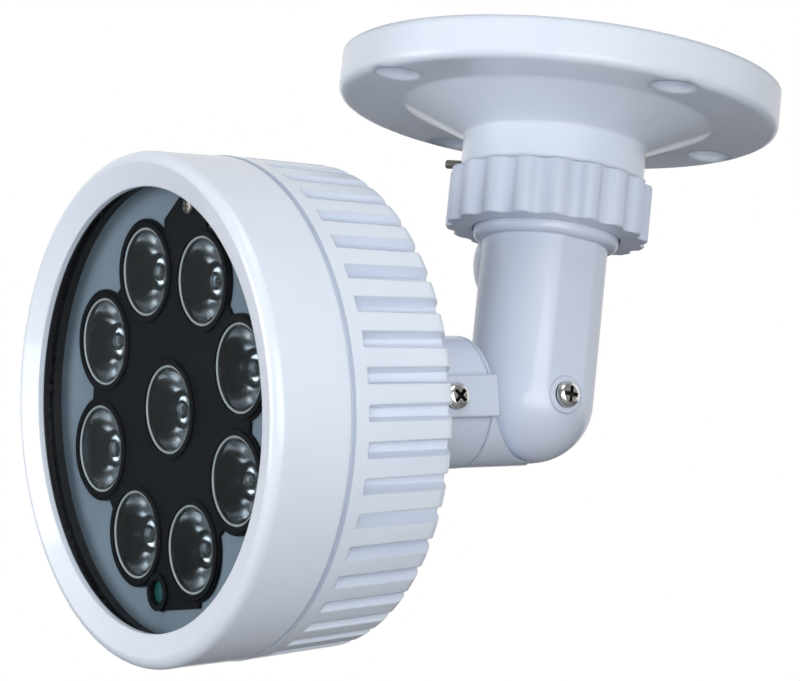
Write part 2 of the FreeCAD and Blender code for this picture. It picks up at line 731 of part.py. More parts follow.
# Knuckle: ear beside the arm's lower end, barrel, and a hollow spigot in the tail socket
def make_knuckle():
    spigot_end = "%s + spigot_length" % SHOULDER
    groove_half = "(screw_radius + lock_groove_play)"
    groove_radius = "spigot_radius - lock_groove_depth"
    body = turned("knuckle", KNUCKLE, [
        ("0", "barrel_start"), ("barrel_radius", "barrel_start"), ("barrel_radius", SHOULDER),
        ("spigot_radius", SHOULDER), ("spigot_radius", "%s - %s" % (LOCK_ALONG, groove_half)),
        (groove_radius, "%s - %s" % (LOCK_ALONG, groove_half)),
        (groove_radius, "%s + %s" % (LOCK_ALONG, groove_half)),
        ("spigot_radius", "%s + %s" % (LOCK_ALONG, groove_half)), ("spigot_radius", spigot_end),
        ("0", spigot_end)])
    relief = new_sketch(body, "XZ_Plane")
    relief_far = "relief_root + (relief_rim - relief_root) * (barrel_radius + 2 - relief_start)" \
                 " / (barrel_radius - relief_start)"
    outline(relief, [("-(%s)" % EAR_FACE, "0"), ("barrel_radius + 2", "0"), ("barrel_radius + 2", relief_far),
                     ("relief_start", "relief_root"), ("-(%s)" % EAR_FACE, "relief_root")])
    revolve(body, relief, cut=True, axis="H_Axis")
    for rise, reverse in (("0", True), ("web_rise", False)):
        upper = new_sketch(body, "YZ_Plane", "-(%s)" % EAR_FACE)
        lean = "(arm_radius + 0.5) / cos(nose_up_limit) + %s * tan(nose_up_limit)"
        outline(upper, [(rise, "0"), ("barrel_radius + 2", "0"),
                        ("barrel_radius + 2", lean % "(barrel_radius + 2)"), (rise, lean % rise)])
        extrude(body, upper, cut=True, reverse=reverse)
    top = new_sketch(body, "YZ_Plane")
    box_outline(top, ("top_cut_rise", "0"), ("barrel_radius + 2", "barrel_top_cut"))
    extrude(body, top, "2 * barrel_radius", cut=True, both=True)
    ear = new_sketch(body, "XZ_Plane")
    outline(ear, [("-(%s)" % EAR_FACE, "0"), ("-(%s)" % EAR_FACE, "ear_side_radius"),
                  ("ear_corner - ear_reach", "ear_side_radius"), ("-ear_reach", "ear_side_radius - ear_corner"),
                  ("-ear_reach", "0")], {2: ("ear_corner", 1)})
    revolve(body, ear, axis="H_Axis")
    recess = new_sketch(body, "XZ_Plane")
    box_outline(recess, ("-ear_recess_end", "ear_hub"), ("1 - (%s)" % EAR_FACE, "ear_recess_radius"))
    revolve(body, recess, cut=True, axis="H_Axis")
    mouth = new_sketch(body, "YZ_Plane", "1 - (%s)" % EAR_FACE)
    outline(mouth, [("-ear_mouth_back", "-ear_side_radius - 1"), ("-ear_mouth_back", "-ear_mouth"),
                    ("ear_mouth", "-ear_mouth"), ("ear_mouth", "ear_mouth"),
                    ("ear_side_radius + 1", "ear_mouth"), ("ear_side_radius + 1", "-ear_side_radius - 1")])
    extrude(body, mouth, "ear_recess_end - (%s) + 1" % EAR_FACE, cut=True)
    passage = new_sketch(body, "XZ_Plane")
    outline(passage, [("-ear_recess_end", "passage_start"), ("-passage_near", "passage_start"),
                      ("-passage_near", "passage_turn"), ("0", "passage_turn"), ("0", "passage_end"),
                      ("-ear_recess_end", "passage_end")])
    extrude(body, passage, "2 * window_half", cut=True, both=True)
    bore = new_sketch(body, "XZ_Plane")
    box_outline(bore, ("0", "cable_bore_start"), ("cable_bore", "%s + 1" % spigot_end))
    revolve(body, bore, cut=True)
    hinge = circle(new_sketch(body, "YZ_Plane", "1 - (%s)" % EAR_FACE), "0", "0",
                   "screw_radius + screw_clearance")
    extrude(body, hinge, cut=True)
    seat = circle(new_sketch(body, "YZ_Plane", "-ear_reach - 1"), "0", "0", "nut_half / cos(30) + nut_clearance")
    extrude(body, seat, "nut_height + swivel_clearance + 1", cut=True, reverse=True)
    return body


# Tail socket: flange screwed to the housing, tube for the knuckle's spigot, lug for the lock screw
def make_tail_socket():
    seat = "fin_end"
    bore = "spigot_radius + spigot_clearance"
    flange_end = "fin_end + socket_flange"
    body = turned("tail_socket", LAMP, [
        ("cable_bore", seat), ("socket_flange_radius", seat), ("socket_flange_radius", flange_end),
        ("socket_radius + socket_fillet", flange_end), ("socket_radius", flange_end + " + socket_fillet"),
        ("socket_radius", "socket_end - socket_round"), ("socket_radius - socket_round", "socket_end"),
        (bore, "socket_end"), (bore, "socket_seat"), ("cable_bore", "socket_seat")],
        {3: ("socket_fillet", -1), 5: ("socket_round", 1)})
    lug = new_sketch(body, "YZ_Plane", "(socket_radius + spigot_radius) / 2")
    box_outline(lug, ("-lug_half", "lug_start"), ("lug_half", "lug_end"))
    extrude(body, lug, "lug_reach - (socket_radius + spigot_radius) / 2")
    lock = circle(new_sketch(body, "YZ_Plane", "lug_reach + 1"), "0", "lock_screw_depth", "screw_radius")
    extrude(body, lock, "lug_reach + 1 - spigot_radius + 2", cut=True)
    hole = circle(new_sketch(body, "XY_Plane", flange_end), "socket_screw_circle * cos(45)",
                  "socket_screw_circle * sin(45)", "socket_screw_radius")
    hole_cut = extrude(body, hole, cut=True)
    polar(body, [hole_cut], "socket_screws", -1)
    return body


def trapezoid(item, floor, floor_width, mouth, mouth_width):
    """A slot's cross-section: narrower at its floor, open towards the outside."""
    return outline(item, [(floor, "-%s / 2" % floor_width), (mouth, "-%s / 2" % mouth_width),
                          (mouth, mouth_width + " / 2"), (floor, floor_width + " / 2")])


# Finned housing: drafted slots that are cut square at the front, get shallower and run out at the back
def make_rear_housing():
    body = turned("rear_housing", LAMP, [
        ("spigot_front_inner", PLATE_BACK), ("housing_thread", PLATE_BACK), ("housing_thread", GROOVE_START),
        (GROOVE_FLOOR, GROOVE_START), (GROOVE_FLOOR, GROOVE_END), ("housing_thread", GROOVE_END),
        ("housing_thread", SEAM_START), ("seam_floor", SEAM_START), ("seam_floor", SEAM_END),
        ("housing_radius", SEAM_END), ("fin_tail_radius", FIN_FLAT_END), (FIN_REAR_RADIUS, "fin_end"),
        ("grommet_radius", "fin_end"), ("grommet_radius", "cavity_end"), ("cavity_radius", "cavity_end"),
        ("cavity_radius", BOARD_BACK), ("spigot_front_inner", BOARD_BACK)],
        {10: ("fin_round", 1)})
    slot_front = trapezoid(new_sketch(body, "XY_Plane", "slot_start"), "housing_radius - slot_depth",
                           "slot_floor_width", SLOT_MOUTH, "slot_mouth_width")
    slot_tail = trapezoid(new_sketch(body, "XY_Plane", "fin_end + 1"), "fin_tail_radius - slot_tail_depth",
                          "slot_tail_floor_width", SLOT_MOUTH, "slot_tail_mouth_width")
    slot_cut = loft_cut(body, slot_front, slot_tail)
    polar(body, [slot_cut], "fin_count", -1)
    post = circle(new_sketch(body, "XY_Plane", "driver_front + driver_thickness"),
                  "driver_post_circle * cos(45)", "driver_post_circle * sin(45)", "driver_post_radius")
    post_pad = extrude(body, post, "cavity_end - driver_front - driver_thickness + 1")
    polar(body, [post_pad], "driver_screws", 1)
    post_hole = circle(new_sketch(body, "XY_Plane", "driver_front + driver_thickness"),
                       "driver_post_circle * cos(45)", "driver_post_circle * sin(45)", "driver_screw_radius")
    post_cut = extrude(body, post_hole, "driver_screw_length", cut=True, reverse=True)
    polar(body, [post_cut], "driver_screws", -1)
    socket_hole = circle(new_sketch(body, "XY_Plane", "fin_end"), "socket_screw_circle * cos(45)",
                         "socket_screw_circle * sin(45)", "socket_screw_radius")
    socket_cut = extrude(body, socket_hole, "socket_screw_length - socket_flange", cut=True)
    polar(body, [socket_cut], "socket_screws", -1)
    board_hole = circle(new_sketch(body, "XY_Plane", BOARD_BACK), "board_screw_circle", "0",
                        "board_screw_radius")
    board_cut = extrude(body, board_hole, "board_screw_length", cut=True, reverse=True)
    polar(body, [board_cut], "board_screws", -1)
    return body


def make_housing_seal():
    body = new_body("housing_seal", LAMP)
    revolve(body, circle(new_sketch(body, "XZ_Plane"), "seal_circle", "seal_middle", "seal_half"))
    return body


# Bezel ring with the sloping front rim, the lip over the window and the threaded skirt
def make_bezel_ring():
    bore = "housing_thread + thread_clearance"
    return turned("bezel_ring", LAMP, [
        ("opening_radius", "opening_depth"),
        ("bezel_radius - bezel_round", "opening_depth * bezel_round / (bezel_radius - opening_radius) * 0.5"),
        ("bezel_radius", "bezel_round"), ("bezel_rear_radius", "bezel_length"), (bore, "bezel_length"),
        (bore, PLATE_BACK), ("gasket_radius", PLATE_BACK), ("gasket_radius", "lip_depth"),
        ("opening_radius", "lip_depth")], {1: ("bezel_round * 1.02", 1)})


def make_front_glass():
    return turned("front_glass", LAMP, [("0", GLASS_FRONT), ("glass_radius", GLASS_FRONT),
                                        ("glass_radius", GLASS_BACK), ("0", GLASS_BACK)])


def make_glass_gasket():
    return turned("glass_gasket", LAMP, [
        ("gasket_inner", "lip_depth"), ("gasket_radius", "lip_depth"), ("gasket_radius", "gasket_end"),
        ("gasket_rear_inner", "gasket_end"), ("gasket_rear_inner", GLASS_BACK), ("glass_radius", GLASS_BACK),
        ("glass_radius", GLASS_FRONT), ("gasket_inner", GLASS_FRONT)])


LENS_X = "lens_circle * cos(22.5)"
LENS_Y = "lens_circle * sin(22.5)"


def ring_of_holes(body, radius, length=None, lift="0", reverse=False):
    """Cut one hole on the axis and eight on the lens circle."""
    centre = circle(new_sketch(body, "XY_Plane", lift), "0", "0", radius)
    extrude(body, centre, length, cut=True, reverse=reverse)
    outer = circle(new_sketch(body, "XY_Plane", lift), LENS_X, LENS_Y, radius)
    outer_cut = extrude(body, outer, length, cut=True, reverse=reverse)
    return polar(body, [outer_cut], "8", -1)


# Grey plate around and behind the lens holder
def make_inner_plate():
    rim = "gasket_radius - thread_clearance"
    body = turned("inner_plate", FACE, [("0", "gasket_end"), (rim, "gasket_end"), (rim, PLATE_BACK),
                                        ("0", PLATE_BACK)])
    ring_of_holes(body, CUP_RADIUS + " + cup_clearance", None, PLATE_BACK)
    sensor = circle(new_sketch(body, "XY_Plane", PLATE_BACK), "sensor_across", "sensor_down",
                    "sleeve_radius + cup_clearance")
    extrude(body, sensor, cut=True)
    return body


# Lens holder: scalloped black web, nine cups and two ears
def make_lens_holder():
    body = turned("lens_holder", FACE, [("0", "web_front"), ("web_radius", "web_front"),
                                        ("web_radius", "gasket_end"), ("0", "gasket_end")])
    scallop = circle(new_sketch(body, "XY_Plane", "web_front"), LENS_X, LENS_Y, CUP_RADIUS + " + 0.6")
    scallop_pad = extrude(body, scallop, "gasket_end - web_front")
    polar(body, [scallop_pad], "8", 1)
    ear = new_sketch(body, "XY_Plane", "web_front")
    outline(ear, [("ear_offset + ear_half", "-web_radius + 4"), ("ear_offset + ear_half", "-ear_radius + 5"),
                  ("ear_offset + 2", "-ear_radius"), ("ear_offset - 2", "-ear_radius"),
                  ("ear_offset - ear_half - 1", "-ear_radius + 7"), ("ear_offset - ear_half", "-web_radius + 4")])
    extrude(body, ear, "gasket_end - web_front")
    chin = new_sketch(body, "XY_Plane", "web_front")
    outline(chin, [("sensor_across - sleeve_radius - 0.6", "web_radius - 4"), ("ear_radius / 3", "web_radius - 4"),
                   ("ear_radius / 3", "sensor_down + 1"), ("sensor_across", "sensor_down + sleeve_radius"),
                   ("sensor_across - sleeve_radius - 0.6", "sensor_down")])
    extrude(body, chin, "gasket_end - web_front")
    cup = circle(new_sketch(body, "XY_Plane", "cup_front"), "0", "0", CUP_RADIUS)
    extrude(body, cup, "board_front - cup_front")
    outer = circle(new_sketch(body, "XY_Plane", "cup_front"), LENS_X, LENS_Y, CUP_RADIUS)
    outer_pad = extrude(body, outer, "board_front - cup_front")
    polar(body, [outer_pad], "8", 1)
    ring_of_holes(body, "lens_radius + lens_play", None, "cup_front", True)
    sensor = circle(new_sketch(body, "XY_Plane", "web_front - 1"), "sensor_across", "sensor_down",
                    "sleeve_radius + 0.05")
    extrude(body, sensor, cut=True, reverse=True)
    return body


def lens_frames(label):
    """The name and place of each of the nine lens positions, the middle one last."""
    spots = []
    for k in range(8):
        angle = "%g" % (22.5 + 45 * k)
        spots.append(("%s_%d" % (label, k + 1),
                      shifted(FACE, "lens_circle * cos(%s)" % angle, "lens_circle * sin(%s)" % angle, "0",
                              ("0; 0; 1", angle))))
    spots.append(("%s_9" % label, FACE))
    return spots


# Collimator lens: thin front rim, curved reflecting cone and a domed pocket over the emitter
def make_lens(label, frame):
    tail = "lens_front + lens_height"
    return turned(label, frame, [
        ("0", "lens_front"), ("lens_radius", "lens_front"), ("lens_radius", "lens_front + lens_rim"),
        ("lens_radius - 0.9", "lens_front + lens_rim"), ("lens_tail_radius", tail),
        ("pocket_radius", tail), ("pocket_radius", tail + " - pocket_depth"),
        ("0", tail + " - pocket_depth - pocket_radius")],
        {3: ("lens_height * 1.6", 1), 6: ("pocket_radius", -1)})


def make_led(label, frame):
    body = new_body(label, frame)
    half = "led_side / 2"
    base = new_sketch(body, "XY_Plane", "board_front - led_thickness")
    box_outline(base, ("-" + half, "-" + half), (half, half))
    extrude(body, base, "led_thickness")
    dome = new_sketch(body, "XZ_Plane")
    front = "board_front - led_thickness"
    outline(dome, [("0", front + " - led_dome"), ("led_dome", front), ("led_dome", front + " + 0.2"),
                   ("0", front + " + 0.2")], {0: ("led_dome", 1)})
    revolve(body, dome)
    return body


def make_led_board():
    body = turned("led_board", FACE, [("0", "board_front"), ("board_radius", "board_front"),
                                      ("board_radius", BOARD_BACK), ("0", BOARD_BACK)])
    screw = circle(new_sketch(body, "XY_Plane", BOARD_BACK), "board_screw_circle * cos(face_turn)",
                   "-board_screw_circle * sin(face_turn)", "board_screw_radius")
    screw_cut = extrude(body, screw, cut=True)
    polar(body, [screw_cut], "board_screws", -1)
    wires = circle(new_sketch(body, "XY_Plane", BOARD_BACK), "lens_circle / 2", "0", "wire_hole_radius")
    extrude(body, wires, cut=True)
    return body


# Light sensor in its black sleeve
def make_sensor():
    spot = shifted(FACE, "sensor_across", "sensor_down", "0")
    turned("sensor_sleeve", spot, [
        ("sleeve_bore", "sleeve_front"), ("sleeve_radius", "sleeve_front"), ("sleeve_radius", "board_front"),
        ("sleeve_bore", "board_front")])
    body = turned("light_sensor", spot, [
        ("0", "sensor_front"), ("sensor_radius", "sensor_front"),
        ("sensor_radius", "sensor_front + sensor_thickness"), ("0", "sensor_front + sensor_thickness")])
    pins = new_sketch(body, "XY_Plane", "sensor_front + sensor_thickness / 2")
    circle(pins, "sensor_pin_half_gap", "0", "sensor_pin_radius")
    circle(pins, "-sensor_pin_half_gap", "0", "sensor_pin_radius")
    extrude(body, pins, "board_front - sensor_front - sensor_thickness / 2")
    return body


# Driver board, its capacitors and its choke
def make_driver():
    back = "driver_front + driver_thickness"
    body = turned("driver_board", LAMP, [("0", "driver_front"), ("driver_radius", "driver_front"),
                                         ("driver_radius", back), ("0", back)])
    hole = circle(new_sketch(body, "XY_Plane", back), "driver_post_circle * cos(45)",
                  "driver_post_circle * sin(45)", "driver_screw_radius")
    hole_cut = extrude(body, hole, cut=True)
    polar(body, [hole_cut], "driver_screws", -1)
    cells = new_body("driver_capacitors", LAMP)
    cell = circle(new_sketch(cells, "XY_Plane", "driver_front"), "capacitor_offset", "0", "capacitor_radius")
    cell_pad = extrude(cells, cell, "capacitor_height", reverse=True)
    polar(cells, [cell_pad], "2", 1)
    choke = turned("driver_choke", shifted(LAMP, "0", "capacitor_offset", "0"), [
        ("choke_radius * 0.4", "driver_front - choke_height"), ("choke_radius", "driver_front - choke_height"),
        ("choke_radius", "driver_front - choke_height * 0.8"),
        ("choke_radius * 0.8", "driver_front - choke_height * 0.8"),
        ("choke_radius * 0.8", "driver_front - choke_height * 0.2"),
        ("choke_radius", "driver_front - choke_height * 0.2"), ("choke_radius", "driver_front"),
        ("choke_radius * 0.4", "driver_front")])
    return choke


def make_cable_grommet():
    flange_front = "cavity_end - grommet_flange_thickness"
    return turned("cable_grommet", LAMP, [
        ("grommet_bore", flange_front), ("grommet_flange", flange_front), ("grommet_flange", "cavity_end"),
        ("grommet_radius", "cavity_end"), ("grommet_radius", "fin_end"), ("grommet_bore", "fin_end")])


def make_all():
    make_base_plate()
    make_neck_set_screw()
    make_swivel_washer()
    make_lock_ring()
    make_arm()
    make_screw("hinge_screw", HINGE, "screw_radius", "pad_reach + ear_reach", "head_radius", "head_height",
               "recess_half", "recess_reach", "recess_depth")
    make_hinge_nut()
    make_knuckle()
    make_tail_socket()
    lock_frame = shifted(LAMP, "lug_reach", "0", "lock_screw_depth", ("0; 1; 0", "90")) + \
        " * placement(vector(0; 0; 0); rotation(vector(0; 0; 1); 45))"
    make_screw("lock_screw", lock_frame, "screw_radius",
               "lug_reach - spigot_radius + lock_groove_depth - lock_groove_play", "head_radius",
               "head_height", "recess_half", "recess_reach", "recess_depth")
    socket_frame = shifted(LAMP, "0", "0", "fin_end + socket_flange", ("0; 0; 1", "45"))
    make_screw("socket_screws", socket_frame, "socket_screw_radius", "socket_screw_length",
               "socket_screw_head", "head_height", "recess_half", "recess_reach", "recess_depth",
               "socket_screw_circle", "socket_screws")
    make_rear_housing()
    make_housing_seal()
    make_bezel_ring()
    make_front_glass()
    make_glass_gasket()
    make_inner_plate()
    make_lens_holder()
    for label, frame in lens_frames("lens"):
        make_lens(label, frame)
    for label, frame in lens_frames("led"):
        make_led(label, frame)
    make_led_board()
    board_frame = shifted(LAMP, "0", "0", "board_front", ("1; 0; 0", "180"))
    make_screw("board_screws", board_frame, "board_screw_radius", "board_screw_length",
               "board_screw_head", "board_screw_head_height", "recess_half", "board_screw_head * 0.6",
               "board_screw_head_height * 0.6", "board_screw_circle", "board_screws")
    make_sensor()
    make_driver()
    driver_frame = shifted(LAMP, "0", "0", "driver_front", ("1; 0; 0", "180")) + \
        " * placement(vector(0; 0; 0); rotation(vector(0; 0; 1); 45))"
    make_screw("driver_screws", driver_frame, "driver_screw_radius", "driver_screw_length",
               "driver_screw_head", "driver_screw_head_height", "recess_half", "driver_screw_head * 0.6",
               "driver_screw_head_height * 0.6", "driver_post_circle", "driver_screws")
    make_cable_grommet()


def write_parts():
    doc.recompute()
    failed = [item.Name for item in doc.Objects if "Invalid" in item.State or "Error" in item.State]
    if failed:
        raise RuntimeError("failed objects: " + ", ".join(failed))
    bodies = [item for item in doc.Objects if item.TypeId == "PartDesign::Body"]
    for body in bodies:
        if body.Shape.isNull() or not body.Shape.isValid() or not body.Shape.Solids:
            raise RuntimeError("no valid solid in " + body.Label)
    os.makedirs("parts", exist_ok=True)
    for body in bodies:
        body.Shape.exportStep("parts/%s.step" % body.Label)
        print(body.Label, len(body.Shape.Solids), "solid(s)", round(body.Shape.Volume, 1), "mm3")


make_all()
write_parts()
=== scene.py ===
import json
import math

import bpy
from mathutils import Matrix, Vector


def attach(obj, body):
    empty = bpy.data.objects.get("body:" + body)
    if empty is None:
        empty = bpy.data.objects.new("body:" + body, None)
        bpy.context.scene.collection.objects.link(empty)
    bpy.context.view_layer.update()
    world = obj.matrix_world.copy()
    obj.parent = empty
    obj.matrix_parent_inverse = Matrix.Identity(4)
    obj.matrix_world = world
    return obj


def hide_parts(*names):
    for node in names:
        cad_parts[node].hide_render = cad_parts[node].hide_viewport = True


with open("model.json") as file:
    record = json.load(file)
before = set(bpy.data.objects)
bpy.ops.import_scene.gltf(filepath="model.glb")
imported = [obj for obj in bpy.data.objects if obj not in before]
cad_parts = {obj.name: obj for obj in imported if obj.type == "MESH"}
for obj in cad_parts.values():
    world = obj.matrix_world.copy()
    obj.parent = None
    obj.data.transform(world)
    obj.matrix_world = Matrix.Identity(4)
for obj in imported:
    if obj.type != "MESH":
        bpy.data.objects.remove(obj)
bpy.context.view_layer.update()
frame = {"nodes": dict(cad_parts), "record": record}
NODES = frame["nodes"]

MM = 0.001

# The camera, fitted to the photograph, in metres and degrees
CAMERA_PLACE = (0.80238, -0.54712, -0.25311)
CAMERA_AZIMUTH = 57.68
CAMERA_ELEVATION = -10.62
CAMERA_ROLL = 5.93
CAMERA_LENS_MM = 180.0
CAMERA_SENSOR_MM = 36.0

# The lamp's own axes, in metres: its front is at LAMP_FRONT, and BACK runs from there along its axis
NOSE_DOWN = math.radians(11.5)
HINGE_DROP = 0.0826
LAMP_REACH = 0.111
RIGHT = Vector((1.0, 0.0, 0.0))
DOWN = Vector((0.0, math.sin(NOSE_DOWN), -math.cos(NOSE_DOWN)))
BACK = Vector((0.0, math.cos(NOSE_DOWN), math.sin(NOSE_DOWN)))
LAMP_FRONT = Vector((0.0, 0.0, -HINGE_DROP)) - BACK * LAMP_REACH

# The circle of the outer lenses, in metres, and how far the lamp's face is turned about its axis
OUTER_LENSES = 8
LENS_CIRCLE = 0.0336
FACE_TURN = math.radians(11.25)


def lamp_matrix(across=0.0, down=0.0, turn=0.0):
    """A matrix from the lamp's frame to the row frame: X across, Y down, Z backwards."""
    axes = Matrix((RIGHT, DOWN, BACK)).transposed().to_4x4()
    axes.translation = LAMP_FRONT
    spot = Matrix.Rotation(turn, 4, "Z") @ Matrix.Translation((across, down, 0.0))
    return axes @ spot


def lens_spots():
    """The matrix of each of the nine lens places, the middle one last."""
    step = 360.0 / OUTER_LENSES
    turns = [FACE_TURN + math.radians((k + 0.5) * step) for k in range(OUTER_LENSES)]
    return [lamp_matrix(LENS_CIRCLE, 0.0, turn) for turn in turns] + [lamp_matrix(turn=FACE_TURN)]


# Finishes
class Wire:
    """An output socket of a finish, or of a value in it, that can stand in Python sums."""

    def __init__(self, finish, socket):
        self.finish = finish
        self.socket = socket

    def maths(self, operation, first, second):
        return self.finish.node("ShaderNodeMath", {"operation": operation}, {0: first, 1: second})

    def __add__(self, other):
        return self.maths("ADD", self, other)

    def __radd__(self, other):
        return self.maths("ADD", other, self)

    def __sub__(self, other):
        return self.maths("SUBTRACT", self, other)

    def __rsub__(self, other):
        return self.maths("SUBTRACT", other, self)

    def __mul__(self, other):
        return self.maths("MULTIPLY", self, other)

    def __rmul__(self, other):
        return self.maths("MULTIPLY", other, self)

    def __pow__(self, other):
        return self.maths("POWER", self, other)

    def or_larger(self, other):
        return self.maths("MAXIMUM", self, other)


class Finish:
    """A node tree that is built one node at a time."""

    def __init__(self, name=None, tree=None):
        self.material = None
        if tree is None:
            self.material = bpy.data.materials.new(name)
            self.material.use_nodes = True
            tree = self.material.node_tree
        self.tree = tree
        tree.nodes.clear()

    def node(self, kind, settings=None, inputs=None, output=0):
        """A node with its settings, and a value or a wire for each of its sockets that matter."""
        made = self.tree.nodes.new(kind)
        for key, setting in (settings or {}).items():
            setattr(made, key, setting)
        for key, given in (inputs or {}).items():
            if isinstance(given, Wire):
                self.tree.links.new(given.socket, made.inputs[key])
            else:
                made.inputs[key].default_value = given
        return Wire(self, made.outputs[output])

    def coords(self):
        return self.node("ShaderNodeTexCoord", output="Object")

    def axes(self, vector):
        """The three parts of a vector."""
        made = self.node("ShaderNodeSeparateXYZ", None, {0: vector})
        outputs = made.socket.node.outputs
        return [Wire(self, outputs[k]) for k in range(3)]

    def from_point(self, centre):
        """Object coordinates, counted from a point."""
        return self.node("ShaderNodeMapping", {"vector_type": "TEXTURE"},
                         {"Vector": self.coords(), "Location": centre})

    def ray(self, kind):
        return self.node("ShaderNodeLightPath", output=kind)

    def noise(self, scale, detail=2.0, roughness=0.5):
        return self.node("ShaderNodeTexNoise", {"noise_dimensions": "3D"},
                         {"Vector": self.coords(), "Scale": scale, "Detail": detail,
                          "Roughness": roughness})

    def blend(self, factor, first, second):
        """A colour between two colours."""
        return self.node("ShaderNodeMix", {"data_type": "RGBA", "clamp_factor": True},
                         {0: factor, 6: (*first, 1.0), 7: (*second, 1.0)}, output=2)

    def span(self, value, low, high, out_low=0.0, out_high=1.0):
        """Map a value's range to another, clamped and smooth."""
        return self.node("ShaderNodeMapRange", {"interpolation_type": "SMOOTHSTEP"},
                         {"Value": value, "From Min": low, "From Max": high,
                          "To Min": out_low, "To Max": out_high})

    def soft_edges(self, radius):
        return self.node("ShaderNodeBevel", {"samples": 4}, {"Radius": radius})

    def bump(self, height, strength, distance, normal=None):
        inputs = {"Height": height, "Strength": strength, "Distance": distance}
        if normal:
            inputs["Normal"] = normal
        return self.node("ShaderNodeBump", None, inputs)

    def surface(self, **sockets):
        """The main shader, with its sockets named by words joined with underscores."""
        names = {key.replace("_", " "): given for key, given in sockets.items()}
        for key, given in names.items():
            if isinstance(given, tuple):
                names[key] = (*given, 1.0)
        return self.node("ShaderNodeBsdfPrincipled", None, names)

    def done(self, shader, output="ShaderNodeOutputMaterial"):
        out = self.tree.nodes.new(output)
        self.tree.links.new(shader.socket, out.inputs["Surface"])
        return self.material


def white_paint(name, colour, shade, roughness, edge):
    """Sprayed enamel: soft edges, faint orange peel, slightly uneven tone and a hard clear skin."""
    f = Finish(name)
    tone = f.span(f.noise(38.0, detail=3.0), 0.35, 0.7)
    peel = f.bump(f.noise(900.0), 0.035, 0.0004, f.soft_edges(edge))
    return f.done(f.surface(Base_Color=f.blend(tone, colour, shade),
                            Roughness=roughness + 0.10 * f.noise(210.0, detail=3.0),
                            IOR=1.5, Coat_Weight=0.35, Coat_Roughness=0.06, Normal=peel))


# Where painted shade darkens a pan head, in metres from its seat along the screw and from its axis
RECESS_DEPTHS = (0.0019, 0.0015)
RECESS_RADII = (0.0024, 0.0021)
EDGE_DEPTHS = (0.0010, 0.0004)
EDGE_RADII = (0.0027, 0.0031)


def plated_screw(name, colour, dark, roughness, seat=None):
    """Bright plating with fine turning marks. A seat, the middle of the face that a head along X
    stands on, paints shade into the head's recess and along its lower edge."""
    f = Finish(name)
    marks = f.noise(5200.0)
    grime_and_painted_shade = f.span(f.noise(900.0, detail=4.0, roughness=0.6), 0.55, 0.75, 0.0, 0.6)
    if seat:
        along, across, up = f.axes(f.from_point(seat))
        reach = (across * across + up * up) ** 0.5
        # painted shade: the cross recess and the head's lower edge are darkened as if in shadow
        recess = f.span(along, *RECESS_DEPTHS) * f.span(reach, *RECESS_RADII)
        edge = f.span(reach, *EDGE_RADII) * f.span(along, *EDGE_DEPTHS)
        # the random grime and the painted shade darken the head through one mask
        grime_and_painted_shade = grime_and_painted_shade.or_larger(recess + edge)
    return f.done(f.surface(Base_Color=f.blend(grime_and_painted_shade, colour, dark), Metallic=1.0,
                            Roughness=roughness + 0.14 * grime_and_painted_shade,
                            Normal=f.bump(marks, 0.12, 0.00008, f.soft_edges(0.00016))))


def moulded(name, colour, shade, roughness, grain=1400.0, strength=0.12, edge=0.0002, coat=0.0,
            shine=0.5):
    """Moulded or coated stock: a fine grain, soft edges and a slightly uneven tone."""
    f = Finish(name)
    tone = f.span(f.noise(60.0, detail=3.0), 0.3, 0.7)
    grained = f.bump(f.noise(grain, detail=3.0), strength, 0.0002, f.soft_edges(edge))
    return f.done(f.surface(Base_Color=f.blend(tone, colour, shade),
                            Roughness=roughness + 0.12 * f.noise(160.0, detail=3.0),
                            Coat_Weight=coat, Coat_Roughness=0.08, Specular_IOR_Level=shine,
                            Normal=grained))


def thin_glass(name, tint, strength):
    """A clear, coated pane: it mirrors a little, and more at a low angle."""
    f = Finish(name)
    smears = f.span(f.noise(30.0, detail=4.0), 0.45, 0.75)
    low_angle = f.node("ShaderNodeLayerWeight", None, {"Blend": 0.5}, output="Facing")
    mirrored = 0.04 + 0.96 * low_angle ** 5.0
    clear = f.node("ShaderNodeBsdfTransparent", None, {"Color": (*tint, 1.0)})
    mirror = f.node("ShaderNodeBsdfGlossy", None, {"Color": (1.0, 1.0, 1.0, 1.0), "Roughness": 0.02})
    return f.done(f.node("ShaderNodeMixShader", None,
                         {0: mirrored * strength * (1.0 + 0.2 * smears), 1: clear, 2: mirror}))


def clear_resin(name, tint, roughness, rim_depth, rim_fade):
    """Moulded clear plastic with faint flow lines, and a painted highlight in front of a depth in the
    lamp.
    """
    f = Finish(name)
    flow = f.bump(f.noise(260.0), 0.15, 0.0002)
    _, along, up = f.axes(f.coords())
    depth = BACK.y * along + BACK.z * up - LAMP_FRONT.dot(BACK)
    clear = f.surface(Base_Color=tint, Roughness=roughness, IOR=1.49, Specular_IOR_Level=0.5,
                      Transmission_Weight=1.0, Normal=flow)
    # a pale grey surface that paints the bright highlight line along the lens's rim
    rim_highlight = f.surface(Base_Color=(0.72, 0.75, 0.78), Roughness=0.3)
    on_rim = f.span(depth, rim_depth, rim_depth - rim_fade, 0.0, 0.6)
    return f.done(f.node("ShaderNodeMixShader", None, {0: on_rim, 1: clear, 2: rim_highlight}))


